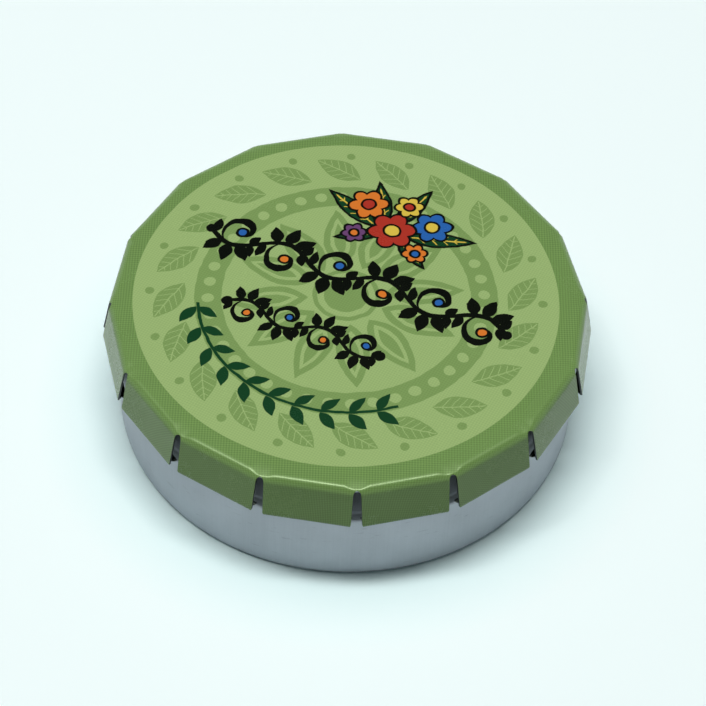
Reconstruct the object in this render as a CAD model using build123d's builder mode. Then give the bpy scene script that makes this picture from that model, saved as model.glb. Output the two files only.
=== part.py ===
"""Round snap-lid pocket tin: a drawn base, and a lid whose slit skirt grips the neck round the base.

Millimetres, +Z up. The origin is the middle of the underside, on the surface that the tin stands on.
"""
import os
from math import cos, pi, radians, sin, tan

from build123d import *

os.makedirs("parts", exist_ok=True)

# Whole tin
tin_height = 18.0
lid_corner_radius = 31.4
tab_count = 16
lid_sheet = 0.23
base_sheet = 0.23

# Lid panel and shoulder
dome_rise = 0.5
shoulder_radius = 0.9
corner_bend_radius = 2.0
seam_inset = 0.9

# Lid skirt, which leans outwards down to the lips of its tabs
skirt_drop = 6.2
skirt_lean_degrees = 11.3
slot_head_width = 1.05
slot_foot_width = 1.45
slot_head_drop = 0.4
tab_corner_radius = 0.8
lip_curl_diameter = 1.2
lip_turn_degrees = 220

# Base, whose wall steps in to a neck for the lips, below the rim that rolls outwards
base_corner_radius = 0.6
ledge_rise = 0.5
ledge_bend_radius = 0.5
neck_bend_radius = 0.45
rim_roll_turn_degrees = 260
floor_lift = 0.4
floor_bend_radius = 0.6
floor_step_width = 0.9
standing_ring_width = 2.6

# Clearances
seam_gap = 0.05
bend_line_gap = 0.03
rim_seat_gap = 0.07
lip_clearance = 0.05
ledge_gap = 1.2

# Skirt places that follow: the tab's flat meets the lip's curl and the shoulder's bend as a tangent
half_turn = 180
tab_angle = 2 * half_turn / tab_count
half_tab_angle = tab_angle / 2
half_tab_radians = pi / tab_count
lean = radians(skirt_lean_degrees)
lip_curl_radius = lip_curl_diameter / 2
skirt_foot_z = tin_height - skirt_drop
lip_curl_z = skirt_foot_z + lip_curl_radius
lip_outer_radius = lid_corner_radius * cos(half_tab_radians)
lip_centre_radius = lip_outer_radius - lip_curl_radius
lip_reach_radius = lip_outer_radius - lip_curl_diameter
flat_foot_radius = lip_centre_radius + lip_curl_radius * (1 / cos(lean) + tan(lean))
sheet_across = lid_sheet / cos(lean)
bend_line_z = tin_height - shoulder_radius + shoulder_radius * sin(lean)


def save(piece):
    """Writes a labelled piece to its own STEP file."""
    export_step(piece, f"parts/{piece.label}.step")


def skirt_flat_radius(height):
    """The distance from the axis to the outer face of a tab's flat at a height."""
    return flat_foot_radius - (height - skirt_foot_z) * tan(lean)


# Base places that follow: the wall from the lips, and the rim from the shoulder that it lies under
wall_radius = lip_reach_radius - lip_clearance
ledge_z = skirt_foot_z - ledge_gap
rim_roll_radius = shoulder_radius - lid_sheet - rim_seat_gap
rim_roll_hollow_radius = rim_roll_radius - base_sheet
rim_roll_z = tin_height - shoulder_radius
rim_roll_centre_radius = skirt_flat_radius(rim_roll_z) - shoulder_radius / cos(lean)
rim_bore_radius = rim_roll_centre_radius - rim_roll_radius
neck_radius = rim_bore_radius + base_sheet
seam_radius = rim_bore_radius - seam_inset
standing_ring_inner_radius = wall_radius - base_corner_radius - standing_ring_width
floor_edge_radius = standing_ring_inner_radius - floor_step_width


def pressed_form(foot_radius, height, corner_radius, bend_radius):
    """The leaning many-sided form that the lid is pressed over, with its corners and top edge bent round."""
    with BuildPart() as form:
        with BuildSketch(Plane.XY.offset(skirt_foot_z)):
            RegularPolygon(foot_radius, tab_count, major_radius=False)
        extrude(amount=height, taper=skirt_lean_degrees)
        fillet(form.edges().group_by(Axis.Z)[1], corner_radius)
        fillet(form.faces().sort_by(Axis.Z)[-1].edges(), bend_radius)
    return form.part


# Base: one sheet, revolved. Its path is the sheet's outer face from the middle of the floor up the neck, and
# the rim's roll follows on from it
with BuildPart() as tin_base:
    with BuildSketch(Plane.XZ):
        with BuildLine():
            FilletPolyline(
                (0, floor_lift),
                (floor_edge_radius, floor_lift),
                (standing_ring_inner_radius, 0),
                (wall_radius, 0),
                (wall_radius, ledge_z),
                (neck_radius, ledge_z + ledge_rise),
                (neck_radius, rim_roll_z),
                radius=[floor_bend_radius, floor_bend_radius, base_corner_radius, ledge_bend_radius,
                        neck_bend_radius],
            )
            offset(amount=base_sheet, side=Side.LEFT)
        make_face()
        with BuildLine():
            rim_roll_centre = (rim_roll_centre_radius, rim_roll_z)
            rim_roll = CenterArc(rim_roll_centre, rim_roll_radius, half_turn, -rim_roll_turn_degrees)
            rim_hollow = CenterArc(rim_roll_centre, rim_roll_hollow_radius, half_turn, -rim_roll_turn_degrees)
            Line(rim_roll @ 0, rim_hollow @ 0)
            Line(rim_roll @ 1, rim_hollow @ 1)
        make_face()
    revolve(axis=Axis.Z)
tin_base.part.label = "tin_base"
save(tin_base.part)

# Lid rim: the flat ring and the rounded shoulder, down to the line where the tabs bend
slot_head_z = tin_height - slot_head_drop - slot_head_width / 2
with BuildPart() as lid_rim:
    add(pressed_form(flat_foot_radius, skirt_drop, corner_bend_radius, shoulder_radius))
    add(
        pressed_form(
            flat_foot_radius - sheet_across,
            skirt_drop - lid_sheet,
            corner_bend_radius - lid_sheet,
            shoulder_radius - lid_sheet,
        ),
        mode=Mode.SUBTRACT,
    )
    with BuildSketch(Plane.XY.offset(tin_height)):
        Circle(seam_radius + seam_gap)
    extrude(amount=-skirt_drop, mode=Mode.SUBTRACT)
    split(bisect_by=Plane.XY.offset(bend_line_z + bend_line_gap / 2), keep=Keep.TOP)
    for number in range(tab_count):
        corner_direction = Vector(1, 0, 0).rotate(Axis.Z, number * tab_angle)
        slot_plane = Plane(
            origin=corner_direction * seam_radius + Vector(0, 0, slot_head_z),
            z_dir=corner_direction,
        )
        with BuildSketch(slot_plane):
            Circle(slot_head_width / 2)
        extrude(amount=lid_corner_radius, mode=Mode.SUBTRACT)
lid_rim.part.label = "lid_rim"
save(lid_rim.part)

# Lid panel: a shallow dome of sheet, free of the ring by the seam
with BuildPart() as lid_panel:
    with BuildSketch(Plane.XZ):
        with BuildLine():
            TangentArc((0, tin_height + dome_rise), (seam_radius, tin_height), tangent=(1, 0))
            offset(amount=lid_sheet, side=Side.RIGHT)
        make_face()
    revolve(axis=Axis.Z)
lid_panel.part.label = "lid_panel"
save(lid_panel.part)

# One tab on the +X side: a leaning flat whose foot curls inwards into the lip, between two slots
tab_head_z = bend_line_z - bend_line_gap / 2
tab_head_corner = skirt_flat_radius(tab_head_z) * tan(half_tab_radians)
tab_foot_corner = lip_outer_radius * tan(half_tab_radians)
with BuildPart() as tab_blank:
    with BuildSketch(Plane.XZ):
        with BuildLine():
            lip = CenterArc(
                (lip_centre_radius, lip_curl_z), lip_curl_radius, skirt_lean_degrees, -lip_turn_degrees
            )
            Line((skirt_flat_radius(tab_head_z), tab_head_z), lip @ 0)
            offset(amount=lid_sheet, side=Side.RIGHT)
        make_face()
    extrude(amount=tab_foot_corner, both=True)
    with BuildSketch(Plane.YZ.offset(lip_centre_radius)) as tab_outline:
        with BuildLine():
            Polyline(
                (slot_head_width / 2 - tab_head_corner, tab_head_z),
                (tab_head_corner - slot_head_width / 2, tab_head_z),
                (tab_foot_corner - slot_foot_width / 2, skirt_foot_z),
                (slot_foot_width / 2 - tab_foot_corner, skirt_foot_z),
                close=True,
            )
        make_face()
        fillet(tab_outline.vertices().group_by(Axis.Y)[0], tab_corner_radius)
    extrude(amount=lip_curl_diameter, both=True, mode=Mode.INTERSECT)

# Lid tabs: the same tab on each side of the lid, each between two slots
for number in range(tab_count):
    with BuildPart() as lid_tab:
        add(tab_blank.part, rotation=(0, 0, half_tab_angle + number * tab_angle))
    lid_tab.part.label = f"lid_tab_{number + 1:02d}"
    save(lid_tab.part)
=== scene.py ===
"""The looks of a round snap-lid pocket tin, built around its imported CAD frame.

Lengths in the classes are millimetres, as in the part's source, and MM turns them into the scene's metres.
"""
import logging
import math
from contextlib import contextmanager
from dataclasses import dataclass
from enum import Enum
from typing import Callable, Iterable, Iterator, NamedTuple, Sequence

import bpy
from mathutils import Matrix, Vector


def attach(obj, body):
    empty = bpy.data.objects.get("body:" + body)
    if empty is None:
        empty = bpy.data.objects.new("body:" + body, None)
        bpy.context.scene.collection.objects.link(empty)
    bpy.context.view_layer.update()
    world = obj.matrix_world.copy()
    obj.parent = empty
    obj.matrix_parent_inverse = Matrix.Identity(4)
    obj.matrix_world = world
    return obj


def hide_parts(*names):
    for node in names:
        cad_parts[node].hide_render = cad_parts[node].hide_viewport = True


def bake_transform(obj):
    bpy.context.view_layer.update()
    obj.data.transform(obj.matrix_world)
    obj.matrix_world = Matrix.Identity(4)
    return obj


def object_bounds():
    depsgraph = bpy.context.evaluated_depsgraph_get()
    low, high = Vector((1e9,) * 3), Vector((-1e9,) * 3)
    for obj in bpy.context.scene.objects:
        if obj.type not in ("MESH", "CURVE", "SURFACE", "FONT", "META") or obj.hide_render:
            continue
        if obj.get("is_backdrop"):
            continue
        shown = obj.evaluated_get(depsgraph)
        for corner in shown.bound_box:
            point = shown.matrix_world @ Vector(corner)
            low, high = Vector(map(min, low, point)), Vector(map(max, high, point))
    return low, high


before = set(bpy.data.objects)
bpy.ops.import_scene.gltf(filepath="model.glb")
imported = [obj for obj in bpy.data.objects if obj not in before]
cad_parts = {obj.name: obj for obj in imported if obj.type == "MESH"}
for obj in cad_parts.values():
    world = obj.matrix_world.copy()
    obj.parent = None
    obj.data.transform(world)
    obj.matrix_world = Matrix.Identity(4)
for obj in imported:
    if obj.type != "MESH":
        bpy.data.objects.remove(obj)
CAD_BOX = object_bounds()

MM = 0.001
WELD_REACH = 0.0001 * MM
SMOOTH_ANGLE = math.radians(38)
QUARTER_TURN = math.pi / 2
FULL_TURN = 2 * math.pi
IMAGE_SIDE = 706
NO_HEIGHT = (1.0, 1.0, 0.0)

# A noise's number rarely leaves this part of its range
NOISE_SPAN = (0.3, 0.7)

Colour = tuple[float, float, float]
Point = tuple[float, float, float]
Flat = tuple[float, float]
Span = tuple[float, float]
Form = Callable[[float, float], Point]
WHOLE: Span = (0.0, 1.0)

log = logging.getLogger("tin")


def linear(red: int, green: int, blue: int) -> Colour:
    """Turns a colour of 0 to 255 steps, as a screen shows it, into the linear one that a shader takes."""
    steps = (red / 255, green / 255, blue / 255)
    return tuple(s / 12.92 if s <= 0.04045 else ((s + 0.055) / 1.055) ** 2.4 for s in steps)


def between(low: float, high: float, share: float) -> float:
    """The value a share of the way from low to high."""
    return low + (high - low) * share


def eased(share: float) -> float:
    """The share held to 0 and 1, with a smooth start and end."""
    held = min(max(share, 0.0), 1.0)
    return held * held * (3 - 2 * held)


@dataclass(frozen=True)
class TinSizes:
    """The sizes that shape the tin.

    They are the CAD part's, but for the seen shoulder with its ease and its droop, the slots' heads and the
    gap above the ledge, which are drawn as the photograph shows them.
    """

    height: float = 18.0
    corner_radius: float = 31.4
    tabs: int = 16
    sheet: float = 0.23
    dome_rise: float = 0.5
    shoulder: float = 0.9
    seen_shoulder: float = 1.15
    seen_shoulder_at_slot: float = 0.87
    shoulder_ease: float = 1.2
    corner_droop: float = 0.18
    corner_bend: float = 2.0
    drop: float = 6.2
    lean_degrees: float = 11.3
    slot_head: float = 1.05
    slot_foot: float = 1.45
    slot_head_drop: float = 0.27
    tab_corner: float = 0.8
    lip_curl: float = 1.2
    lip_turn_degrees: float = 220.0
    lip_clearance: float = 0.05
    ledge_gap: float = 0.8
    ledge_rise: float = 0.5
    ledge_bend: float = 0.5
    neck_bend: float = 0.45
    rim_seat_gap: float = 0.07
    seam_inset: float = 0.9
    base_corner: float = 0.6
    roll_turn_degrees: float = 260.0
    floor_lift: float = 0.4
    floor_bend: float = 0.6
    floor_step: float = 0.9
    standing_ring: float = 2.6

    @property
    def lean(self) -> float:
        """The angle of the skirt from upright, in radians."""
        return math.radians(self.lean_degrees)

    @property
    def half_sector(self) -> float:
        """Half the angle that one tab takes of the lid."""
        return math.pi / self.tabs

    @property
    def lip_radius(self) -> float:
        """The outside radius of the lip's curl."""
        return self.lip_curl / 2

    @property
    def foot_z(self) -> float:
        """The height of the tabs' lowest points."""
        return self.height - self.drop

    @property
    def lip_z(self) -> float:
        """The height of the middle of the lip's curl."""
        return self.foot_z + self.lip_radius

    @property
    def lip_middle(self) -> float:
        """The distance from the axis to the middle of the lip's curl."""
        return self.corner_radius * math.cos(self.half_sector) - self.lip_radius

    @property
    def flat_foot(self) -> float:
        """The distance from the axis to the skirt's flat, drawn on to the height of its foot."""
        return self.lip_middle + self.lip_radius * (1 / math.cos(self.lean) + math.tan(self.lean))

    def flat(self, z: float) -> float:
        """The distance from the axis to the outer face of a tab's flat at a height."""
        return self.flat_foot - (z - self.foot_z) * math.tan(self.lean)

    @property
    def roll_z(self) -> float:
        """The height of the middle of the base's rolled rim, which is the middle of the shoulder's bend."""
        return self.height - self.shoulder

    @property
    def roll_radius(self) -> float:
        """The outside radius of the base's rolled rim."""
        return self.shoulder - self.sheet - self.rim_seat_gap

    @property
    def neck(self) -> float:
        """The outside radius of the base's neck, below the rolled rim."""
        return self.roll_middle - self.roll_radius + self.sheet

    @property
    def roll_middle(self) -> float:
        """The distance from the axis to the middle of the base's rolled rim."""
        return self.flat(self.roll_z) - self.shoulder / math.cos(self.lean)

    @property
    def wall(self) -> float:
        """The outside radius of the base's wall."""
        return self.lip_middle - self.lip_radius - self.lip_clearance

    @property
    def panel(self) -> float:
        """The radius of the snap panel."""
        return self.roll_middle - self.roll_radius - self.seam_inset


def take(piece: bpy.types.Object) -> None:
    """Makes one piece the only one that is selected and active.

    Args:
        piece: The piece.
    """
    bpy.ops.object.select_all(action="DESELECT")
    piece.select_set(True)
    bpy.context.view_layer.objects.active = piece


@contextmanager
def editing(piece: bpy.types.Object) -> Iterator[None]:
    """Opens a piece in edit mode with all of it selected, and closes it again.

    Args:
        piece: The piece.
    """
    take(piece)
    bpy.ops.object.mode_set(mode="EDIT")
    bpy.ops.mesh.select_all(action="SELECT")
    yield
    bpy.ops.object.mode_set(mode="OBJECT")


def named_primitive(name: str) -> bpy.types.Object:
    """Names the primitive that an operator has just added, and returns it.

    Args:
        name: The piece's name.

    Returns:
        The piece.
    """
    piece = bpy.context.object
    piece.name = piece.data.name = name
    return piece


def face_outwards(piece: bpy.types.Object, heart_z: float = 0.0) -> None:
    """Flips an open sheet's faces where most of them look at a point inside the tin.

    Args:
        piece: The sheet, before it has its thickness.
        heart_z: The height on the tin's axis of the point that the faces turn their backs on.
    """
    heart = Vector((0, 0, heart_z * MM))
    lean = sum(face.normal.dot(face.center - heart) * face.area for face in piece.data.polygons)
    if lean < 0:
        with editing(piece):
            bpy.ops.mesh.flip_normals()


def weld(piece: bpy.types.Object) -> None:
    """Merges the vertices that lie on each other, which closes seams and poles."""
    with editing(piece):
        bpy.ops.mesh.remove_doubles(threshold=WELD_REACH)


def thicken(piece: bpy.types.Object, thickness: float, finishes: Iterable[bpy.types.Material]) -> None:
    """Gives a sheet its thickness inwards, with its own finish outside, inside and on its cut edges.

    Args:
        piece: The sheet, with its faces outwards.
        thickness: The thickness in millimetres.
        finishes: The outer, the inner and the edge material.
    """
    for finish in finishes:
        piece.data.materials.append(finish)
    take(piece)
    bpy.ops.object.modifier_add(type="SOLIDIFY")
    sheet = piece.modifiers[-1]
    sheet.thickness = thickness * MM
    sheet.offset = -1
    sheet.use_even_offset = True
    sheet.material_offset = 1
    sheet.material_offset_rim = 2
    bpy.ops.object.modifier_apply(modifier=sheet.name)
    bpy.ops.object.shade_smooth_by_angle(angle=SMOOTH_ANGLE)


def pressed_sheet(name: str, columns: int, rows: int, form: Form) -> bpy.types.Object:
    """Presses a flat grid of sheet onto a form.

    Args:
        name: The piece's name.
        columns: The number of faces across the grid.
        rows: The number of faces along it.
        form: Gives the point in millimetres for two shares from 0 to 1, across and along.

    Returns:
        The pressed sheet, still without thickness.
    """
    bpy.ops.object.select_all(action="DESELECT")
    bpy.ops.mesh.primitive_grid_add(x_subdivisions=columns, y_subdivisions=rows, size=2)
    piece = named_primitive(name)
    for vertex in piece.data.vertices:
        vertex.co = Vector(form((vertex.co.x + 1) / 2, (vertex.co.y + 1) / 2)) * MM
    weld(piece)
    face_outwards(piece)
    return piece


def rounded_path(corners: Sequence[tuple[float, float, float]], step_degrees: float) -> list[Flat]:
    """Rounds the corners of a path as a press bends sheet.

    Args:
        corners: Distance from the axis, height and bend radius of each corner; the ends have radius 0.
        step_degrees: The angle between two points of a bend.

    Returns:
        The points of the path.
    """
    points = [corners[0][:2]]
    for before, corner, after in zip(corners, corners[1:], corners[2:]):
        here = Vector(corner[:2])
        back = (Vector(before[:2]) - here).normalized()
        ahead = (Vector(after[:2]) - here).normalized()
        turn = math.pi - back.angle(ahead)
        reach = corner[2] * math.tan(turn / 2)
        side = 1 if back.x * ahead.y - back.y * ahead.x < 0 else -1
        start = here + back * reach
        middle = start + Vector((back.y, -back.x)) * side * corner[2]
        count = max(2, round(math.degrees(turn) / step_degrees))
        for number in range(count + 1):
            swing = Matrix.Rotation(side * turn * number / count, 2)
            points.append(tuple(middle + swing @ (start - middle)))
    points.append(corners[-1][:2])
    return points


def spun_sheet(name: str, path: Sequence[Flat], steps: int) -> bpy.types.Object:
    """Draws a path point by point and spins it round the tin's axis.

    Args:
        name: The piece's name.
        path: The points, as distance from the axis and height.
        steps: The number of faces round the axis.

    Returns:
        The spun sheet, still without thickness.
    """
    bpy.ops.object.select_all(action="DESELECT")
    bpy.ops.mesh.primitive_plane_add(size=MM)
    piece = named_primitive(name)
    with editing(piece):
        bpy.ops.mesh.merge(type="CENTER")
        bpy.ops.transform.translate(value=(path[0][0] * MM, 0, path[0][1] * MM))
        for start, end in zip(path, path[1:]):
            move = ((end[0] - start[0]) * MM, 0, (end[1] - start[1]) * MM)
            bpy.ops.mesh.extrude_vertices_move(TRANSFORM_OT_translate={"value": move})
        bpy.ops.mesh.select_all(action="SELECT")
        bpy.ops.mesh.spin(steps=steps, angle=FULL_TURN, center=(0, 0, 0), axis=(0, 0, 1))
    weld(piece)
    return piece


def lays(operation: str, swapped: bool = False) -> Callable[["Wire", "Plug"], "Wire"]:
    """Makes an operator of wires.

    Args:
        operation: What the node that it lays works out.
        swapped: Whether the wire stands on the operator's right.

    Returns:
        The operator.
    """

    def operator(self: "Wire", other: "Plug") -> "Wire":
        """Lays the node."""
        return self.nodes.work_out(operation, *((other, self) if swapped else (self, other)))

    return operator


@dataclass(frozen=True)
class Wire:
    """A node's output. A sum or product of wires lays the node that works it out.

    The sign | gives the larger of two masks and & the smaller, so they read as either and both.
    """

    nodes: "Nodes"
    socket: bpy.types.NodeSocket

    __add__ = __radd__ = lays("ADD")
    __sub__ = lays("SUBTRACT")
    __rsub__ = lays("SUBTRACT", swapped=True)
    __mul__ = __rmul__ = lays("MULTIPLY")
    __truediv__ = lays("DIVIDE")
    __rtruediv__ = lays("DIVIDE", swapped=True)
    __mod__ = lays("FLOORED_MODULO")
    __or__ = lays("MAXIMUM")
    __and__ = lays("MINIMUM")
    __lt__ = lays("LESS_THAN")
    pingpong = lays("PINGPONG")

    def __abs__(self) -> "Wire":
        """Its value without the sign."""
        return self.nodes.work_out("ABSOLUTE", self)

    @property
    def many(self) -> bool:
        """Whether it carries a place or a colour, and not one number."""
        return self.socket.type in ("VECTOR", "RGBA")

    def held(self) -> "Wire":
        """Holds the Math node's result to 0 and 1."""
        self.socket.node.use_clamp = True
        return self

    def length(self) -> "Wire":
        """The length of the vector that it carries."""
        return self.nodes.wire("VectorMath", {0: self}, "Value", operation="LENGTH")

    def split(self) -> list["Wire"]:
        """Its three numbers."""
        return [Wire(self.nodes, out) for out in self.nodes.add("SeparateXYZ", {0: self}).outputs]


Plug = Wire | float | Sequence[float]


class Noise(NamedTuple):
    """A Noise Texture's settings."""

    scale: float
    detail: float = 2.0
    roughness: float = 0.5


class Nodes:
    """Lays nodes in one tree and wires them."""

    def __init__(self, tree: bpy.types.NodeTree) -> None:
        """Empties the tree that the nodes go into."""
        self.tree = tree
        tree.nodes.clear()

    def plug(self, socket: bpy.types.NodeSocket, value: Plug) -> None:
        """Links a socket to a wire, or sets its own value.

        Args:
            socket: The socket, which takes a number, a place or a colour.
            value: One number fills all of a place, a flat place lies at height 0, and a colour is opaque.
        """
        if isinstance(value, Wire):
            self.tree.links.new(value.socket, socket)
        elif hasattr(socket.default_value, "__len__"):
            size = len(socket.default_value)
            numbers = (value,) * 3 if isinstance(value, (int, float)) else tuple(value)
            socket.default_value = (*numbers, float(size == 4))[:size]
        else:
            socket.default_value = value

    def add(
        self, kind: str, inputs: dict[str | int, Plug] | None = None, **settings: object
    ) -> bpy.types.Node:
        """Adds a node.

        Args:
            kind: The node's type, without the word that shader nodes start with.
            inputs: Values or wires by input name or number.
            **settings: The node's own settings.

        Returns:
            The node.
        """
        node = self.tree.nodes.new("ShaderNode" + kind)
        for key, value in settings.items():
            setattr(node, key, value)
        for key, value in (inputs or {}).items():
            self.plug(node.inputs[key], value)
        return node

    def wire(
        self, kind: str, inputs: dict[str | int, Plug], output: str | int = 0, **settings: object
    ) -> Wire:
        """Adds a node, as add does, and returns one of its outputs."""
        return Wire(self, self.add(kind, inputs, **settings).outputs[output])

    def work_out(self, operation: str, *values: Plug) -> Wire:
        """Adds a Math node, or a Vector Math node where a value is a place or a colour."""
        many = any(v.many if isinstance(v, Wire) else not isinstance(v, (int, float)) for v in values)
        return self.wire("VectorMath" if many else "Math", dict(enumerate(values)), operation=operation)

    def join(self, x: Plug, y: Plug) -> Wire:
        """Joins two numbers into a flat place."""
        return self.wire("CombineXYZ", {0: x, 1: y})

    def turned(self, place: Plug, angle: Plug) -> Wire:
        """Turns a place round the Z axis."""
        return self.wire("VectorRotate", {"Vector": place, "Angle": angle})

    def mix(self, share: Plug, under: Plug, over: Plug) -> Wire:
        """Mixes two colours by a share."""
        return self.wire("Mix", {"Factor": share, "A": under, "B": over}, "Result", data_type="RGBA")

    def noise(self, place: Plug, noise: Noise, output: str | int = 0) -> Wire:
        """Adds a Noise Texture and returns its number, or another output."""
        settings = {name.title(): value for name, value in noise._asdict().items()}
        return self.wire("TexNoise", {"Vector": place, **settings}, output)

    def span(self, value: Plug, source: Span, target: Span = WHOLE) -> Wire:
        """Maps a range of values onto another and holds the result to it."""
        ends = zip(("From Min", "From Max", "To Min", "To Max"), (*source, *target))
        return self.wire("MapRange", {"Value": value, **dict(ends)})

    def group(self, tree: bpy.types.NodeTree, inputs: dict[str, Plug]) -> list[Wire]:
        """Places a node group with its values and returns all its outputs."""
        return [Wire(self, out) for out in self.add("Group", inputs, node_tree=tree).outputs]


class Kind(Enum):
    """What a group's socket carries."""

    NUMBER = "NodeSocketFloat"
    PLACE = "NodeSocketVector"


class Group(Nodes):
    """A node group under construction, which takes a place and the sizes of a shape."""

    def __init__(self, shape: type) -> None:
        """Starts the group.

        Args:
            shape: The class whose fields become the group's inputs, after the place.
        """
        name = "print_" + shape.__name__.lower()
        super().__init__(bpy.data.node_groups.new(name, "ShaderNodeTree"))
        kinds = {"Place": Kind.PLACE}
        for key, hint in shape.__annotations__.items():
            kinds[key.title()] = Kind.NUMBER if hint is float else Kind.PLACE
        for key, kind in kinds.items():
            self.tree.interface.new_socket(name=key, in_out="INPUT", socket_type=kind.value)
        entry = self.tree.nodes.new("NodeGroupInput")
        self.given = [Wire(self, entry.outputs[key]) for key in kinds]

    def give(self, **results: Wire) -> bpy.types.NodeTree:
        """Closes the group.

        Args:
            **results: What it gives, by name.

        Returns:
            The group's tree.
        """
        for key, result in results.items():
            kind = Kind.PLACE if result.many else Kind.NUMBER
            self.tree.interface.new_socket(name=key, in_out="OUTPUT", socket_type=kind.value)
        way_out = self.tree.nodes.new("NodeGroupOutput")
        for key, result in results.items():
            self.plug(way_out.inputs[key], result)
        return self.tree


class Material(Nodes):
    """A material under construction."""

    bump_strength: float = 0.6

    def __init__(self, name: str) -> None:
        """Starts the material.

        Args:
            name: The material's name.
        """
        self.material = bpy.data.materials.new(name)
        self.material.use_nodes = True
        super().__init__(self.material.node_tree)

    def own_place(self, turn_degrees: float = 0.0, shift: Flat = (0.0, 0.0)) -> Wire:
        """The piece's own coordinates in millimetres, turned and shifted to where a pattern has its middle.

        Args:
            turn_degrees: How far the pattern is turned round the tin's axis.
            shift: Where the pattern's middle lies, in millimetres.

        Returns:
            The wire that carries the place.
        """
        inputs = {
            "Vector": self.wire("TexCoord", {}, "Object"),
            "Location": (shift[0] * MM, shift[1] * MM),
            "Rotation": (0, 0, math.radians(turn_degrees)),
        }
        return self.wire("Mapping", inputs, vector_type="TEXTURE") * (1 / MM)

    def bump(self, height: Wire, depth: float) -> Wire:
        """Turns a height into a bump of some millimetres."""
        inputs = {"Height": height, "Distance": depth * MM, "Strength": self.bump_strength}
        return self.wire("Bump", inputs)

    def surface(self, shader: Wire) -> bpy.types.Material:
        """Gives the material its shader and returns it."""
        self.add("OutputMaterial", {"Surface": shader})
        return self.material


class Leaf(NamedTuple):
    """A pointed leaf from its stalk along its turn in radians."""

    stalk: Flat
    turn: float
    length: float
    width: float


class Spiral(NamedTuple):
    """An arc that winds in or out over its span in radians and thins towards both ends."""

    middle: Flat
    turn: float
    radius: float
    growth: float
    span: float
    stroke: float


class Dot(NamedTuple):
    """A round dot."""

    middle: Flat | Wire
    radius: float


class Band(NamedTuple):
    """A band round the print's middle, by its radius and half its width."""

    middle: float
    half: float


class Ring(NamedTuple):
    """What repeats round the middle: how often, and by which share of a repeat it is shifted."""

    count: float
    shift: float


class Vine(NamedTuple):
    """A running vine: its middle, the pitch of its bows, and their number on each side."""

    middle: Flat
    pitch: float
    bows: float


class Wear(NamedTuple):
    """Fine rubbing of a sheet: what its grain and its slow patches add to the roughness."""

    grain: float
    rub: float


class Screen(NamedTuple):
    """The printer's dot screen, by its pitch and its turn in radians."""

    pitch: float
    turn: float


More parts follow.
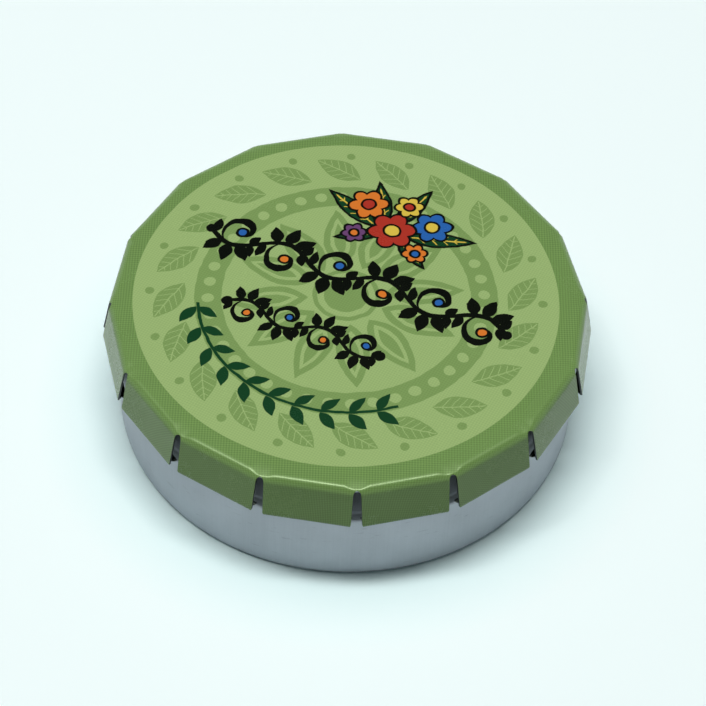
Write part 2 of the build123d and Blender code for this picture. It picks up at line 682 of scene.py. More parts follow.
class Strokes:
    """The strokes of the lid's print, its screen and a sheet's wear, each a node group that is built once."""

    edge: float = 0.07
    leaf_fullness: float = 1.6
    mid_rib: float = 0.11
    side_rib: float = 0.10
    rib_slope: float = 0.9
    rib_spacing: float = 0.55
    rib_margin: float = 0.16
    spiral_swell: Span = (0.22, 1.7)
    bow: float = 7.0
    bow_height: float = 1.5
    stem_half: float = 0.42
    tip: float = 0.75
    berry: Dot = Dot((0.6, -1.0), 0.56)
    patches: Noise = Noise(0.16, 3.0)
    grain: Noise = Noise(5.0)
    patch_height: float = 1.5
    grain_height: float = 0.35
    bow_shapes: tuple[Spiral | Dot | Leaf, ...] = (
        Spiral((0.45, -1.05), 2.25, 2.65, -1.75, 5.0, 0.62), Dot((0.6, -1.0), 0.92), Dot((-2.7, 2.55), 0.42),
        Leaf((-1.3, 1.2), 2.15, 3.1, 1.7), Leaf((-0.2, 1.4), 1.45, 3.3, 1.8),
        Leaf((0.8, 1.2), 0.75, 3.3, 1.7), Leaf((2.4, 0.5), 1.2, 2.3, 1.3),
        Leaf((2.2, 0.6), -1.05, 2.1, 1.3), Leaf((-2.7, 0.4), -1.75, 2.6, 1.3),
    )

    def __init__(self) -> None:
        """Builds every group, the vine last, because the others are placed in it."""
        self.groups: dict[type, bpy.types.NodeTree] = {}
        for shape, build in (
            (Leaf, self._leaf), (Spiral, self._spiral), (Dot, self._dot), (Band, self._band),
            (Ring, self._ring), (Wear, self._wear), (Screen, self._screen), (Vine, self._vine),
        ):
            self.groups[shape] = build(Group(shape))

    def draw(self, place: Wire, shape: NamedTuple) -> list[Wire]:
        """Draws a shape.

        Args:
            place: The place in the print.
            shape: Its sizes, which go into the inputs that have their names.

        Returns:
            What the shape's group gives, its mask first.
        """
        sizes = {name.title(): size for name, size in shape._asdict().items()}
        return place.nodes.group(self.groups[type(shape)], {"Place": place, **sizes})

    def inked(self, depth: Wire) -> Wire:
        """The mask of what lies some depth inside a stroke, with a soft edge."""
        return (depth / self.edge).held()

    def _leaf(self, nodes: Group) -> bpy.types.NodeTree:
        """The leaf, with its ribs as a second mask.

        Args:
            nodes: The group to fill.

        Returns:
            Its tree.
        """
        place, stalk, turn, length, width = nodes.given
        x, y, _ = nodes.turned(place - stalk, turn * -1.0).split()
        share = (x / length).held()
        rest = 1.0 - share
        off = abs(y)
        depth = share * rest * (rest + self.leaf_fullness) * width - off
        slant = (x - off * self.rib_slope).pingpong(self.rib_spacing)
        ribs = ((self.mid_rib - off) | (self.side_rib - slant)) & (depth - self.rib_margin)
        return nodes.give(Mask=self.inked(depth), Ribs=self.inked(ribs))

    def _spiral(self, nodes: Group) -> bpy.types.NodeTree:
        """The arc.

        Args:
            nodes: The group to fill.

        Returns:
            Its tree.
        """
        place, middle, turn, radius, growth, span, stroke = nodes.given
        away = place - middle
        x, y, _ = nodes.turned(away, turn * -1.0).split()
        share = nodes.work_out("ARCTAN2", y, x) % FULL_TURN / span
        off = abs(away.length() - (share * growth + radius))
        thin, swell = self.spiral_swell
        depth = (share.pingpong(0.5) * swell + thin) * stroke - off
        return nodes.give(Mask=self.inked(depth) * (share < 1.0))

    def _dot(self, nodes: Group) -> bpy.types.NodeTree:
        """The dot."""
        place, middle, radius = nodes.given
        return nodes.give(Mask=self.inked(radius - (place - middle).length()))

    def _band(self, nodes: Group) -> bpy.types.NodeTree:
        """The band."""
        place, middle, half = nodes.given
        return nodes.give(Mask=self.inked(half - abs(place.length() - middle)))

    def _ring(self, nodes: Group) -> bpy.types.NodeTree:
        """The place within one repeat, x along the ring and y outwards, and where that repeat stands.

        Args:
            nodes: The group to fill.

        Returns:
            Its tree.
        """
        place, count, shift = nodes.given
        x, y, _ = place.split()
        slots = nodes.work_out("ARCTAN2", y, x) * (1 / FULL_TURN) * count + shift
        middle = nodes.work_out("FLOOR", slots) + 0.5
        radius = place.length()
        arc = (slots - middle) * FULL_TURN / count
        return nodes.give(Place=nodes.join(arc * radius, radius), Turn=(middle - shift) / count)

    def _wear(self, nodes: Group) -> bpy.types.NodeTree:
        """A roughness to add and a height for the bump.

        Args:
            nodes: The group to fill.

        Returns:
            Its tree.
        """
        place, grain, rub = nodes.given
        slow, fine = nodes.noise(place, self.patches), nodes.noise(place, self.grain)
        rough = (slow - 0.5) * rub + (fine - 0.5) * grain
        return nodes.give(Roughness=rough, Height=fine * self.grain_height + slow * self.patch_height)

    def _screen(self, nodes: Group) -> bpy.types.NodeTree:
        """Rows of fine dots, from 0 between them to 1 on them.

        Args:
            nodes: The group to fill.

        Returns:
            Its tree.
        """
        place, pitch, turn = nodes.given
        x, y, _ = nodes.turned(place, turn).split()
        rate = FULL_TURN / pitch
        waves = nodes.work_out("SINE", x * rate) * nodes.work_out("SINE", y * rate)
        return nodes.give(Mask=waves * 0.5 + 0.5)

    def _vine(self, nodes: Group) -> bpy.types.NodeTree:
        """A waving stem along x with a spiral, leaves and a berry in every bow, and the side of each bow.

        Args:
            nodes: The group to fill.

        Returns:
            Its tree.
        """
        place, middle, pitch, bows = nodes.given
        away = place - middle
        x, y, _ = (away / pitch).split()
        bow = nodes.work_out("FLOOR", x)
        side = bow % 2.0
        own_x = (x - bow - 0.5) * self.bow
        own_y = y * (side * -2.0 + 1.0) * self.bow
        own = nodes.join(own_x, own_y)
        wave = nodes.work_out("COSINE", own_x * (math.pi / self.bow)) * self.bow_height
        ink = self.inked(self.stem_half - abs(own_y - wave))
        for shape in self.bow_shapes:
            ink = ink | self.draw(own, shape)[0]
        held = abs(x) < bows
        tip = self.draw(abs(away), Dot(nodes.join(bows * pitch, 0.0), self.tip))[0]
        return nodes.give(Ink=ink * held | tip, Berry=self.draw(own, self.berry)[0] * held, Side=side)


@dataclass(frozen=True)
class Inks:
    """The colours of the print."""

    border: Colour = linear(111, 143, 80)
    field_light: Colour = linear(151, 177, 113)
    field_dark: Colour = linear(122, 151, 88)
    black: Colour = linear(4, 6, 4)
    deep_green: Colour = linear(14, 60, 32)
    orange: Colour = linear(214, 118, 44)
    red: Colour = linear(170, 50, 38)
    yellow: Colour = linear(214, 186, 72)
    blue: Colour = linear(40, 96, 168)
    plum: Colour = linear(104, 66, 110)


class Flower(NamedTuple):
    """A flower: its middle, its size against a plain one, and the inks of its petals and its eye."""

    middle: Flat
    size: float
    petals: Colour
    eye: Colour


@dataclass(frozen=True)
class FieldDesign:
    """The floral design of the lid's printed field, in millimetres from the middle of the print."""

    radius: float = 27.04
    turn_degrees: float = -27.0
    middle: Flat = (-0.32, 0.46)
    wobble: Noise = Noise(0.55)
    wobble_reach: Point = (0.4, 0.4, 0.0)
    wreath: Ring = Ring(20.0, 0.0)
    wreath_leaf: Leaf = Leaf((-2.6, 20.6), 0.6, 6.9, 3.2)
    wreath_berry: Dot = Dot((-1.5, 24.9), 0.62)
    beads: Ring = Ring(40.0, 0.5)
    bead: Dot = Dot((0, 17.5), 0.8)
    rosette: Ring = Ring(12.0, 0.5)
    petal: Leaf = Leaf((0, 4.9), QUARTER_TURN, 10.2, 4.1)
    petal_gap: Leaf = Leaf((0, 6.0), QUARTER_TURN, 7.6, 2.5)
    petal_heart: Leaf = Leaf((0, 6.9), QUARTER_TURN, 5.8, 1.5)
    bands: tuple[Band, ...] = (Band(17.5, 1.75), Band(4.0, 0.35), Band(1.3, 1.6))
    vines: tuple[Vine, ...] = (Vine((0.0, 3.1), 6.9, 3.0), Vine((-2.6, -7.3), 5.3, 2.0))
    row: Ring = Ring(34.0, 0.25)
    row_shapes: tuple[Leaf, ...] = (Leaf((-1.1, 19.0), 0.85, 3.3, 1.5), Leaf((-1.0, 18.7), -0.75, 3.0, 1.3))
    row_stem: Band = Band(18.8, 0.24)
    row_middle_turn: float = -0.265
    row_half_turn: float = 0.14
    posy_middle: Flat = (0.4, 14.0)
    posy_scale: float = 1.38
    posy_leaves: tuple[Leaf, ...] = (
        Leaf((-1.0, -1.2), 2.75, 7.2, 2.0), Leaf((1.2, -1.2), 0.35, 7.2, 2.0),
        Leaf((0.0, -0.4), 1.35, 6.4, 1.9), Leaf((-0.6, -0.6), 2.1, 6.2, 1.7),
        Leaf((-0.6, -1.6), 3.7, 4.8, 1.5), Leaf((0.8, -1.6), -0.55, 4.8, 1.5),
    )
    leaf_outline: float = 0.6
    leaf_narrowing: float = 0.42
    flowers: tuple[Flower, ...] = (
        Flower((-3.3, 1.3), 1.0, Inks.orange, Inks.red), Flower((3.3, 1.2), 1.0, Inks.blue, Inks.yellow),
        Flower((0.1, -0.9), 1.2, Inks.red, Inks.yellow), Flower((0.3, 2.7), 0.72, Inks.yellow, Inks.red),
        Flower((-3.0, -2.7), 0.62, Inks.plum, Inks.orange), Flower((3.2, -2.6), 0.62, Inks.orange, Inks.blue),
    )
    flower_ring: Ring = Ring(6.0, 0.0)
    flower_petal: Dot = Dot((0, 1.15), 0.68)
    petal_outline: float = 0.26
    eye_radius: float = 0.6
    eye_outline: float = 0.24


@dataclass(frozen=True)
class Lacquer:
    """A printed and varnished tinplate."""

    name: str
    strokes: Strokes
    design: FieldDesign = FieldDesign()
    roughness: float = 0.26
    gloss: float = 0.54
    field_gloss: float = 0.26
    gloss_tint: Colour = (0.8, 1.0, 0.62)
    relief: float = 0.004
    wear: Wear = Wear(0.05, 0.10)
    screen: Screen = Screen(0.48, 0.84)
    border_screen: Span = (0.75, 1.2)
    field_screen: Span = (0.9, 1.09)
    drift: Noise = Noise(0.25)
    drift_shades: Span = (-0.02, 0.02)

    def _varnished(self, place: Wire, colour: Wire, gloss: float) -> bpy.types.Material:
        """Lays the varnish over a colour.

        Args:
            place: The place that the sheet's wear follows.
            colour: The printed colour.
            gloss: The strength of the varnish's reflection.

        Returns:
            The finished material.
        """
        nodes = place.nodes
        rough, height = self.strokes.draw(place, self.wear)
        return nodes.surface(nodes.wire("BsdfPrincipled", {
            "Base Color": colour, "Roughness": rough + self.roughness,
            "Normal": nodes.bump(height, self.relief),
            "Specular IOR Level": gloss, "Specular Tint": self.gloss_tint,
        }))

    def _screened(self, sheet: Wire, shades: Span) -> Wire:
        """The shade of the printer's screen on the flat sheet, from between its dots to on them."""
        return sheet.nodes.span(self.strokes.draw(sheet, self.screen)[0], WHOLE, shades)

    def _ground(self, place: Wire) -> Wire:
        """The border's green, with the printer's screen unfolded over the skirt, and slow unevenness.

        Args:
            place: The piece's own place.

        Returns:
            The colour.
        """
        nodes = place.nodes
        x, y, z = place.split()
        flat = nodes.join(x, y)
        drop = (TinSizes.height - z) | 0.0
        shade = self._screened(flat * (drop / flat.length() + 1.0), self.border_screen)
        drift = nodes.span(nodes.noise(place, self.drift), NOISE_SPAN, self.drift_shades)
        return (shade + drift) * Inks.border

    def border(self) -> bpy.types.Material:
        """The plain green of the ring and the skirt."""
        place = Material(self.name + "_border").own_place()
        return self._varnished(place, self._ground(place), self.gloss)

    def picture(self) -> bpy.types.Material:
        """The printed field of the lid: a light disc with its floral design, on the border's green.

        Returns:
            The material.
        """
        design = self.design
        nodes = Material(self.name + "_picture")
        place = nodes.own_place(design.turn_degrees, design.middle)
        clean = place * NO_HEIGHT
        drawn = clean + (nodes.noise(place, design.wobble, "Color") - 0.5) * design.wobble_reach
        colour = self._field(clean, drawn, self._ground(nodes.own_place()))
        colour = self._posy(drawn, self._vines(drawn, colour))
        return self._varnished(place, colour, self.field_gloss)

    def _field(self, clean: Wire, drawn: Wire, ground: Wire) -> Wire:
        """The light disc with its tone-on-tone wreath, beads and rosette.

        Args:
            clean: The place in the print.
            drawn: The same place with the hand's wobble.
            ground: The colour round the disc.

        Returns:
            The colour.
        """
        design, draw = self.design, self.strokes.draw
        rings = (design.wreath, design.beads, design.rosette)
        wreath, beads, rosette = (draw(drawn, ring)[0] for ring in rings)
        leaf, ribs = draw(wreath, design.wreath_leaf)
        petal, gap, heart = (
            draw(rosette, part)[0] for part in (design.petal, design.petal_gap, design.petal_heart)
        )
        tone = (leaf - ribs).held() | draw(wreath, design.wreath_berry)[0] | (petal - gap).held() | heart
        for band in design.bands:
            tone = tone | draw(drawn, band)[0]
        tone = (tone - draw(beads, design.bead)[0]).held()
        shade = self._screened(clean, self.field_screen)
        disc = self.strokes.inked(design.radius - clean.length())
        toned = drawn.nodes.mix(tone, Inks.field_light, Inks.field_dark) * shade
        return drawn.nodes.mix(disc, ground, toned)

    def _vines(self, drawn: Wire, colour: Wire) -> Wire:
        """Two dark running vines with coloured berries, and a row of small leaves along the lower edge.

        Args:
            drawn: The place in the print, with the hand's wobble.
            colour: The colour under them.

        Returns:
            The colour with them on it.
        """
        design, draw, mix = self.design, self.strokes.draw, drawn.nodes.mix
        for vine in design.vines:
            ink, berry, side = draw(drawn, vine)
            colour = mix(ink, colour, Inks.black)
            colour = mix(berry, colour, mix(side, Inks.orange, Inks.blue))
        row, turn = draw(drawn, design.row)
        up, down = (draw(row, leaf)[0] for leaf in design.row_shapes)
        low = abs(turn - design.row_middle_turn) < design.row_half_turn
        return mix((up | down | draw(drawn, design.row_stem)[0]) * low, colour, Inks.deep_green)

    def _posy(self, drawn: Wire, colour: Wire) -> Wire:
        """A posy above the vines: pointed leaves behind flowers with dark outlines.

        Args:
            drawn: The place in the print, with the hand's wobble.
            colour: The colour under it.

        Returns:
            The colour with it on it.
        """
        design, draw, mix = self.design, self.strokes.draw, drawn.nodes.mix
        own = (drawn - design.posy_middle) * (1 / design.posy_scale)
        edge = design.leaf_outline
        for leaf in design.posy_leaves:
            stalk = (leaf.stalk[0] + math.cos(leaf.turn) * edge, leaf.stalk[1] + math.sin(leaf.turn) * edge)
            inner = Leaf(stalk, leaf.turn, leaf.length - 2 * edge, leaf.width - design.leaf_narrowing)
            fill, ribs = draw(own, inner)
            colour = mix(draw(own, leaf)[0], colour, Inks.black)
            colour = mix(fill, colour, Inks.deep_green)
            colour = mix(ribs, colour, Inks.yellow)
        for flower in design.flowers:
            away = own - flower.middle
            petal = draw(away, design.flower_ring)[0]
            (x, y), radius = design.flower_petal
            middle, radius, eye = (x, y * flower.size), radius * flower.size, design.eye_radius * flower.size
            for place, dot, ink in (
                (petal, Dot(middle, radius + design.petal_outline), Inks.black),
                (petal, Dot(middle, radius), flower.petals),
                (away, Dot((0, 0), eye + design.eye_outline), Inks.black),
                (away, Dot((0, 0), eye), flower.eye),
            ):
                colour = mix(draw(place, dot)[0], colour, ink)
        return colour


@dataclass(frozen=True)
class BareTinplate:
    """Plain tinned steel, as the base shows it and the lid's inside and cut edges.

    The heights and radii say from where to where a painted shade comes in, in millimetres: painted shade on
    the neck, where the lid's skirt shades it, and a painted contact shadow on the foot's outer edge.
    """

    name: str
    strokes: Strokes
    colour: Colour = linear(180, 185, 192)
    roughness: float = 0.7
    draw_lines: float = 0.5
    # How far the foot's outer edge is darkened: a painted contact shadow where the tin meets the floor
    foot_shade: float = 1.0
    # How far the neck is darkened: painted shade where the lid's skirt shades it
    neck_shade: float = 1.0
    neck_dulling: float = 0.0
    relief: float = 0.006
    wear: Wear = Wear(0.10, 0.18)
    neck_heights: Span = (11.2, 11.9)
    foot_heights: Span = (0.75, 0.2)
    foot_radii: Span = (29.0, 29.3)
    lines: Noise = Noise(4.7, 3.0)
    line_stretch: Point = (1.0, 1.0, 0.02)
    line_roughness: Span = (-0.03, 0.03)
    scratches: Noise = Noise(0.55, 1.0)
    scratch_stretch: Point = (1.0, 1.0, 5.0)
    scratch_span: Span = (0.70, 0.74)
    scratch_shade: float = 0.9
    blotches: Noise = Noise(0.12, 4.0, 0.6)
    blotch_shades: Span = (0.95, 1.03)

    def material(self) -> bpy.types.Material:
        """Builds the material.

        Returns:
            The material.
        """
        nodes = Material(self.name)
        place = nodes.own_place()
        x, y, z = place.split()
        lines = nodes.noise(place * self.line_stretch, self.lines)
        scratches = nodes.noise(place * self.scratch_stretch, self.scratches)
        # Neck mask: it darkens the colour as painted shade under the lid's skirt, and makes the neck rougher
        neck = nodes.span(z, self.neck_heights)
        # Foot mask: it darkens the base's bottom outer edge as a painted contact shadow
        foot = nodes.span(z, self.foot_heights) & nodes.span(nodes.join(x, y).length(), self.foot_radii)
        shade = nodes.span(nodes.noise(place, self.blotches), NOISE_SPAN, self.blotch_shades)
        for mask, source, darkest in (
            (scratches, self.scratch_span, self.scratch_shade),
            (neck, WHOLE, self.neck_shade),
            (foot, WHOLE, self.foot_shade),
        ):
            shade = shade * nodes.span(mask, source, (1.0, darkest))
        wear, height = self.strokes.draw(place, self.wear)
        rough = wear + self.roughness + nodes.span(lines, NOISE_SPAN, self.line_roughness)
        rough = rough + neck * self.neck_dulling
        return nodes.surface(nodes.wire("BsdfPrincipled", {
            "Base Color": shade * self.colour, "Metallic": 1.0, "Roughness": rough,
            "Normal": nodes.bump(lines * self.draw_lines + height, self.relief),
        }))


@dataclass
class Finishes:
    """The materials of the tin, built once."""

    border: bpy.types.Material
    picture: bpy.types.Material
    bare: bpy.types.Material
    bare_inside: bpy.types.Material
    inside: bpy.types.Material
    edge: bpy.types.Material

    @classmethod
    def build(cls) -> "Finishes":
        """Builds every material.

        Returns:
            The materials.
        """
        strokes = Strokes()
        lacquer = Lacquer("printed_tinplate", strokes)
        # The wall's neck is painted darker as the shade under the lid's skirt, and its foot's edge as the
        # contact shadow on the floor
        wall = BareTinplate("bare_tinplate", strokes, foot_shade=0.7, neck_shade=0.48, neck_dulling=0.2)
        return cls(
            border=lacquer.border(),
            picture=lacquer.picture(),
            bare=wall.material(),
            bare_inside=BareTinplate("bare_tinplate_inside", strokes, roughness=0.5).material(),
            inside=BareTinplate("inner_tinplate", strokes, linear(104, 110, 98), 0.45, 0.2).material(),
            edge=BareTinplate("cut_edge", strokes, linear(88, 92, 92), 0.5, 0.0).material(),
        )


class Slot(Enum):
    """The record's material slots."""

    PRINTED = "printed_tinplate"
    BARE = "bare_tinplate"


@dataclass
class Base:
    """The drawn base with its standing ring, its ledge, its neck and its rolled rim."""

    sizes: TinSizes
    finishes: Finishes
    faces_round: int = 288
    bend_step_degrees: float = 11.0

    def path(self) -> list[Flat]:
        """The outer face from the middle of the floor to the end of the roll.

        Returns:
            The points, as distance from the axis and height.
        """
        s = self.sizes
        ledge = s.foot_z - s.ledge_gap
        ring_inside = s.wall - s.base_corner - s.standing_ring
        hollow = s.roll_middle - s.neck
        corners = [
            (0, s.floor_lift, 0), (ring_inside - s.floor_step, s.floor_lift, s.floor_bend),
            (ring_inside, 0, s.floor_bend), (s.wall, 0, s.base_corner), (s.wall, ledge, s.ledge_bend),
            (s.neck, ledge + s.ledge_rise, s.neck_bend), (s.neck, s.roll_z, 0),
        ]
        points = rounded_path(corners, self.bend_step_degrees)
        turns = round(s.roll_turn_degrees / self.bend_step_degrees)
        for number in range(1, turns + 1):
            angle = math.pi - math.radians(s.roll_turn_degrees) * number / turns
            points.append((s.roll_middle + hollow * math.cos(angle), s.roll_z + hollow * math.sin(angle)))
        return points

    def build(self) -> list[bpy.types.Object]:
        """Spins the base's sheet and dresses it.

        Returns:
            The base's one piece.
        """
        piece = spun_sheet("base_shell", self.path(), self.faces_round)
        face_outwards(piece, self.sizes.height / 2)
        thicken(piece, self.sizes.sheet, (self.finishes.bare, self.finishes.bare_inside, self.finishes.edge))
        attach(piece, "base")
        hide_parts("tin_base")
        return [piece]


@dataclass
class Lid:
    """The stamped lid: ring and shoulder, snap panel, the sheet that flexes between them, and the tabs."""

    sizes: TinSizes
    finishes: Finishes
    seam_z: float = 16.95
    tab_bend_depth: float = 0.9
    ring_inside: float = 27.5
    disc_apothem: float = 14.0
    disc_rows: int = 12
    flex_columns: int = 6
    flex_rows: int = 14
    flat_rows: int = 7
    bend_rows: int = 14
    skirt_rows: int = 3
    from_corner: tuple[float, ...] = (
        0, 0.13, 0.26, 0.37, 0.45, 0.525, 0.7, 0.95, 1.25, 1.6, 2.0, 2.6, 3.4, 4.4,
    )
    tab_rows: int = 8
    curl_rows: int = 22
    tab_column_shares: tuple[float, ...] = (0, 0.03, 0.09, 0.2, 0.4, 0.6, 0.8, 0.91, 0.97, 1)
    hair: float = 0.001

    def __post_init__(self) -> None:
        """Works out the angles of the ring's columns, from one corner of a side to the next."""
        self.side = self.sizes.flat(self.seam_z)
        self.half_side = self.side * math.tan(self.sizes.half_sector)
        half = [math.atan((self.half_side - d) / self.side) for d in self.from_corner]
        self.column_angles = [-a for a in half] + [0.0] + half[::-1]

    def dome(self, distance: float) -> float:
        """The height of the lid's top at a distance from the axis."""
        share = min(distance / self.sizes.panel, 1.0)
        return self.sizes.height + self.sizes.dome_rise * (1 - share * share) ** 2

    def side_turn(self, number: int) -> float:
        """The angle round the axis of the middle of one side."""
        return (number + 0.5) * 2 * self.sizes.half_sector

    def reach(self, angle: float) -> float:
        """How far the outline lies from the axis, with its corners rounded.

        Args:
            angle: The angle from the middle of the side.

        Returns:
            The distance, as a multiple of that of the side's middle.
        """
        s = self.sizes
        corner = abs(angle)
        straight = math.atan((self.half_side - s.corner_bend * math.tan(s.half_sector)) / self.side)
        if corner <= straight:
            return 1 / math.cos(corner)
        middle = (self.side - s.corner_bend) / math.cos(s.half_sector)
        off = s.half_sector - corner
        bend = math.sqrt(s.corner_bend**2 - (middle * math.sin(off)) ** 2)
        return (middle * math.cos(off) + bend) / self.side

    def ring_point(self, angle: float, row: int) -> Flat:
        """A point of the ring's profile.

        Args:
            angle: The angle from the middle of the side.
            row: The row, from the inside of the ring over the flat and the shoulder down to the tabs.

        Returns:
            The distance from the axis and the height.
        """
        s = self.sizes
        off_corner = self.half_side - self.side * math.tan(abs(angle))
        head_half = s.slot_head / 2
        away = eased((off_corner - head_half) / s.shoulder_ease)
        bend = between(s.seen_shoulder_at_slot, s.seen_shoulder, away)
        droop = between(s.corner_droop, 0.0, away)
        reach = self.reach(angle)
        lean = math.atan(reach * math.tan(s.lean))
        inside = self.ring_inside / math.cos(angle)
        first_tilt = math.atan(2 * droop / (reach * s.flat(s.roll_z) - bend - inside))
        middle_z = s.height - droop - bend * math.cos(first_tilt)
        middle = reach * s.flat(middle_z) - bend / math.cos(lean)
        if row <= self.flat_rows:
            share = row / self.flat_rows
            return between(inside, middle + bend * math.sin(first_tilt), share), s.height - droop * share**2
        end_z = self.seam_z
        if off_corner < head_half - self.hair:
            end_z = s.height - s.slot_head_drop - head_half + math.sqrt(head_half**2 - off_corner**2)
        row -= self.flat_rows
        full_tilt = QUARTER_TURN - lean
        tangent_z = middle_z + bend * math.cos(full_tilt)
        if end_z > tangent_z:
            last_tilt, bend_rows = math.acos((end_z - middle_z) / bend), self.bend_rows + self.skirt_rows
        else:
            last_tilt, bend_rows = full_tilt, self.bend_rows
        if row <= bend_rows:
            tilt = between(first_tilt, last_tilt, row / bend_rows)
            return middle + bend * math.sin(tilt), middle_z + bend * math.cos(tilt)
        z = between(tangent_z, end_z, (row - self.bend_rows) / self.skirt_rows)
        return reach * s.flat(z), z

    def ring(self) -> bpy.types.Object:
        """The flat ring and the shoulder with the round heads of the slots.

        Returns:
            The finished piece.
        """
        rows = self.flat_rows + self.bend_rows + self.skirt_rows
        per_side = len(self.column_angles) - 1
        columns = per_side * self.sizes.tabs

        def form(across: float, along: float) -> Point:
            """Presses the ring's blank.

            Args:
                across: The share of the way round the ring.
                along: The share of the rows, from the ring's inside down to the tabs.

            Returns:
                The point in millimetres.
            """
            number = round(across * columns) % columns
            angle = self.column_angles[number % per_side]
            distance, z = self.ring_point(angle, round(along * rows))
            turn = self.side_turn(number // per_side) + angle
            return distance * math.cos(turn), distance * math.sin(turn), z

        piece = pressed_sheet("lid_ring", columns, rows, form)
        thicken(piece, self.sizes.sheet, (self.finishes.border, self.finishes.inside, self.finishes.edge))
        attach(piece, "lid")
        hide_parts("lid_rim")
        return piece

    def disc(self) -> bpy.types.Object:
        """The middle of the snap panel, which moves up and down as one.

        Returns:
            The finished piece.
        """
        half_sector = self.sizes.half_sector
        columns = self.flex_columns * self.sizes.tabs

        def form(across: float, along: float) -> Point:
            """Presses the disc's blank.

            Args:
                across: The share of the way round the disc.
                along: The share of the way from its middle out.

            Returns:
                The point in millimetres.
            """
            side, column = divmod(round(across * columns) % columns, self.flex_columns)
            angle = between(-half_sector, half_sector, column / self.flex_columns)
            distance = along * self.disc_apothem / math.cos(angle)
            turn = self.side_turn(side) + angle
            return distance * math.cos(turn), distance * math.sin(turn), self.dome(distance)

        piece = pressed_sheet("lid_disc", columns, self.disc_rows, form)
        thicken(piece, self.sizes.sheet, (self.finishes.picture, self.finishes.inside, self.finishes.edge))
        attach(piece, "panel")
        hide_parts("lid_panel")
        return piece

    def flexes(self) -> list[bpy.types.Object]:
        """The sheet between ring and disc, one wedge for each side.

        Returns:
            The finished pieces, in order.
        """
        half_sector = self.sizes.half_sector

        def form(across: float, along: float) -> Point:
            """Presses one wedge's blank.

            Args:
                across: The share of the wedge's angle.
                along: The share of the way from the disc out to the ring.

            Returns:
                The point in millimetres.
            """
            angle = between(-half_sector, half_sector, across)
            distance = between(self.disc_apothem, self.ring_inside, along) / math.cos(angle)
            return distance * math.cos(angle), distance * math.sin(angle), self.dome(distance)

        first = pressed_sheet("lid_flex_01", self.flex_columns, self.flex_rows, form)
        thicken(first, self.sizes.sheet, (self.finishes.picture, self.finishes.inside, self.finishes.edge))
        pieces = self.copies(first, "lid_flex")
        for number, piece in enumerate(pieces):
            turn = self.side_turn(number)
            outwards = Vector((math.cos(turn), math.sin(turn), 0)) * MM
            outwards * self.ring_inside
            outwards * self.disc_apothem
            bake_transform(piece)
        return pieces

    def copies(self, first: bpy.types.Object, name: str) -> list[bpy.types.Object]:
        """Copies a piece that was made on the +X side to the middle of every side.

        Args:
            first: The piece, which is removed when its copies are made.
            name: What the copies' names start with.

        Returns:
            The copies, in order.
        """
        pieces = []
        for number in range(self.sizes.tabs):
            piece = first.copy()
            piece.data = first.data.copy()
            piece.name = piece.data.name = f"{name}_{number + 1:02d}_sheet"
            bpy.context.scene.collection.objects.link(piece)
            piece.data.transform(Matrix.Rotation(self.side_turn(number), 4, "Z"))
            pieces.append(piece)
        bpy.data.objects.remove(first)
        return pieces

    def tab_profile(self) -> list[Flat]:
        """The outer face of a tab from the shoulder down and round its lip.

        Returns:
            The points, as distance from the axis and height.
        """
        s = self.sizes

        def on_curl(angle: float) -> Flat:
            """The point of the lip's curl at an angle."""
            return s.lip_middle + s.lip_radius * math.cos(angle), s.lip_z + s.lip_radius * math.sin(angle)

        head, foot = (s.flat(self.seam_z), self.seam_z), on_curl(s.lean)
        shares = [number / self.tab_rows for number in range(self.tab_rows + 1)]
        points = [(between(head[0], foot[0], share), between(head[1], foot[1], share)) for share in shares]
        step = math.radians(s.lip_turn_degrees) / self.curl_rows
        return points + [on_curl(s.lean - step * number) for number in range(1, self.curl_rows + 1)]

    def tab_half_width(self, z: float) -> float:
        """Half the width of a tab, with its foot's corners rounded.

        Args:
            z: The height.

        Returns:
            Half the width at that height.
        """
        s = self.sizes
        head = self.half_side - s.slot_head / 2
        foot = s.corner_radius * math.sin(s.half_sector) - s.slot_foot / 2
        width = between(head, foot, (self.seam_z - z) / (self.seam_z - s.foot_z))
        up = z - s.foot_z
        if up < s.tab_corner:
            width -= s.tab_corner - math.sqrt(s.tab_corner**2 - (s.tab_corner - up) ** 2)
        return width

    def tabs(self) -> list[bpy.types.Object]:
        """The tabs of the skirt.

        Returns:
            The finished pieces, in order.
        """
        profile = self.tab_profile()
        columns, rows = len(self.tab_column_shares) - 1, len(profile) - 1

        def form(across: float, along: float) -> Point:
            """Presses a tab's blank.

            Args:
                across: The share of the tab's columns.
                along: The share of the rows, from the shoulder to the end of the lip.

            Returns:
                The point in millimetres.
            """
            distance, z = profile[round(along * rows)]
            share = self.tab_column_shares[round(across * columns)]
            return distance, self.tab_half_width(z) * (2 * share - 1), z

        first = pressed_sheet("lid_tab_first", columns, rows, form)
        thicken(first, self.sizes.sheet, (self.finishes.border, self.finishes.inside, self.finishes.edge))
        pieces = self.copies(first, "lid_tab")
        for number, piece in enumerate(pieces):
            f"tab_{number + 1:02d}"
            self.seam_z * MM
            (self.seam_z - self.tab_bend_depth) * MM
            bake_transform(piece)
            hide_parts(f"lid_tab_{number + 1:02d}")
        return pieces

    def build(self) -> list[bpy.types.Object]:
        """Builds the lid from its middle outwards."""
        return [self.disc(), *self.flexes(), self.ring(), *self.tabs()]


@dataclass(frozen=True)
class Softbox:
    """A rectangular lamp that looks at the tin, in metres and watts."""

    name: str
    place: Point
    width: float
    depth: float
    power: float

    def hang(self) -> None:
        """Adds the lamp, with its width from left to right."""
        data = bpy.data.lights.new(self.name, "AREA")
        data.shape, data.energy = "RECTANGLE", self.power
        data.size, data.size_y = self.width, self.depth
        lamp = bpy.data.objects.new(self.name, data)
        bpy.context.scene.collection.objects.link(lamp)
        lamp.location = self.place
        back = Vector(self.place).normalized()
        side = Vector((0, 1, 0)).cross(back).normalized()
        lamp.rotation_euler = Matrix((side, back.cross(side), back)).transposed().to_euler()


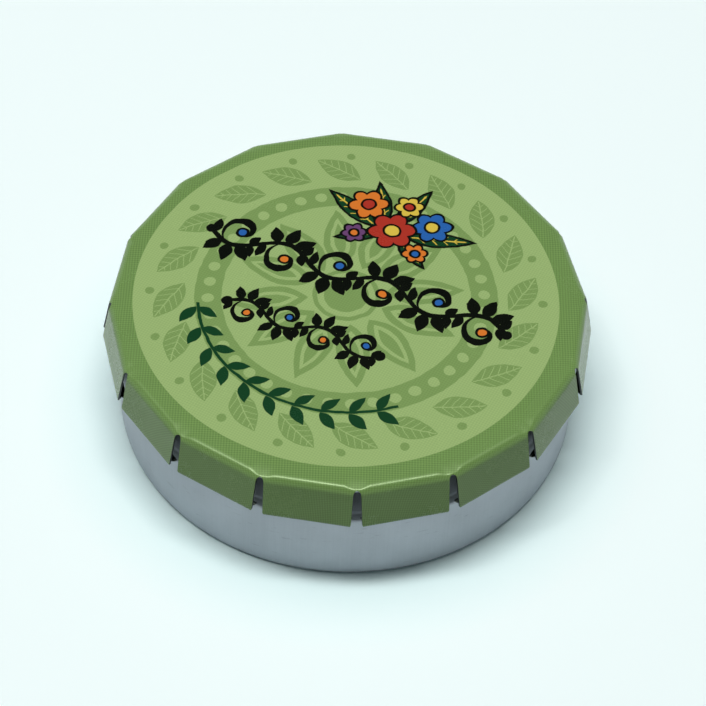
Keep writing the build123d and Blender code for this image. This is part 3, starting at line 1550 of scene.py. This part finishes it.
@dataclass
class Studio:
    """The floor, the lamps and the camera of the picture; its glow and shadow spans are in metres."""

    sizes: TinSizes
    focal_pixels: float = 2536.0
    sensor_width: float = 36.0
    clip: Span = (0.01, 20.0)
    distance: float = 320.9
    elevation_degrees: float = 48.70
    yaw_degrees: float = 0.21
    pitch_degrees: float = 49.89
    roll_degrees: float = 2.26
    phase_degrees: float = 3.49
    paper_colour: Colour = linear(243, 255, 254)
    # The paper's seen colour close round the tin: a painted cyan shadow tint
    paper_near: Colour = linear(234, 255, 254)
    paper_bounce: Colour = linear(134, 140, 140)
    # Where the painted shadow tint gives way to the plain paper, in metres
    near_span: Span = (0.032, 0.041)
    glow_span: Span = (0.08, 0.5)
    floor_gap: float = 0.02
    sweep_radius: float = 1500.0
    sweep_bend: float = 500.0
    sweep_height: float = 800.0
    sweep_step_degrees: float = 6.0
    sweep_faces: int = 96
    world_light: Colour = (0.06, 0.07, 0.075)
    world_seen: Colour = (0.94, 1.0, 0.99)
    lamps: tuple[Softbox, ...] = (
        Softbox("softbox_above", (-0.06, 0.1, 0.88), 1.2, 0.6, 2.6),
        Softbox("lamp_above", (-0.07, -0.03, 0.95), 0.66, 0.13, 6.5),
    )

    def camera(self) -> None:
        """Places the camera as the photograph was taken."""
        up_angle, phase = math.radians(self.elevation_degrees), math.radians(self.phase_degrees)
        turns = (self.yaw_degrees, self.pitch_degrees, self.roll_degrees)
        yaw, pitch, roll = map(math.radians, turns)
        height = self.sizes.height + self.distance * math.sin(up_angle)
        place = Vector((0, -self.distance * math.cos(up_angle), height))
        forward = Vector((math.sin(yaw) * math.cos(pitch), math.cos(yaw) * math.cos(pitch), -math.sin(pitch)))
        right = Vector((math.cos(yaw), -math.sin(yaw), 0))
        up = right.cross(forward)
        turned_right = right * math.cos(roll) + up * math.sin(roll)
        turned_up = up * math.cos(roll) - right * math.sin(roll)
        axes = Matrix((turned_right, turned_up, -forward)).transposed().to_4x4()
        data = bpy.data.cameras.new("camera")
        data.sensor_fit = "HORIZONTAL"
        data.sensor_width = self.sensor_width
        data.lens = self.focal_pixels / IMAGE_SIDE * self.sensor_width
        data.clip_start, data.clip_end = self.clip
        camera = bpy.data.objects.new("camera", data)
        bpy.context.scene.collection.objects.link(camera)
        camera.matrix_world = Matrix.Rotation(-phase, 4, "Z") @ Matrix.Translation(place * MM) @ axes
        bpy.context.scene.camera = camera

    def paper(self) -> bpy.types.Material:
        """White paper that glows where the camera and the metal see it far from the tin, with a painted cyan
        shadow tint where they see it close round the tin.

        Returns:
            The material.
        """
        nodes = Material("white_paper")
        rays = nodes.add("LightPath")
        camera, glossy, through = (Wire(nodes, rays.outputs[f"Is {kind} Ray"])
                                   for kind in ("Camera", "Glossy", "Transmission"))
        seen = camera | glossy | through
        away = (nodes.wire("TexCoord", {}, "Object") * NO_HEIGHT).length()
        # Close round the tin the camera and the metal see a painted shadow tint
        seen_colour = nodes.mix(nodes.span(away, self.near_span), self.paper_near, self.paper_colour)
        lit = nodes.wire("BsdfDiffuse", {"Color": nodes.mix(seen, self.paper_bounce, seen_colour)})
        glow = nodes.wire("Emission", {"Color": self.paper_colour, "Strength": 1.0})
        share = seen * nodes.span(away, self.glow_span)
        return nodes.surface(nodes.wire("MixShader", {0: share, 1: lit, 2: glow}))

    def floor(self) -> None:
        """Lays a pale paper sweep: flat round the tin, turning up all round far away from it."""
        corners = [(0, -self.floor_gap, 0), (self.sweep_radius, -self.floor_gap, self.sweep_bend),
                   (self.sweep_radius, self.sweep_height, 0)]
        path = rounded_path(corners, self.sweep_step_degrees)
        floor = spun_sheet("paper_sweep", path, self.sweep_faces)
        floor.data.materials.append(self.paper())
        bpy.ops.object.shade_smooth()
        floor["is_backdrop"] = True

    def world(self) -> None:
        """A soft even light from all round, white where the camera sees it."""
        world = bpy.data.worlds.new("world")
        bpy.context.scene.world = world
        world.use_nodes = True
        nodes = Nodes(world.node_tree)
        camera = nodes.wire("LightPath", {}, "Is Camera Ray")
        seen = nodes.mix(camera, self.world_light, self.world_seen)
        background = nodes.wire("Background", {"Color": seen, "Strength": 1.0})
        nodes.add("OutputWorld", {"Surface": background})

    def build(self) -> None:
        """Sets the stage."""
        self.floor()
        self.world()
        for lamp in self.lamps:
            lamp.hang()
        self.camera()
        bpy.context.scene.view_settings.view_transform = "Standard"


def main() -> None:
    """Builds the tin and its studio."""
    sizes = TinSizes()
    finishes = Finishes.build()
    for part in (Base(sizes, finishes), Lid(sizes, finishes)):
        for piece in part.build():
            log.info("%s: %d faces", piece.name, len(piece.data.polygons))
    Studio(sizes).build()
    boxes = {name: [[float(v) for v in corner] for corner in box]
             for name, box in (("cad", CAD_BOX), ("visual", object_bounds()))}


if __name__ == "__main__":
    logging.basicConfig(level=logging.INFO, format="%(name)s: %(message)s")
    main()
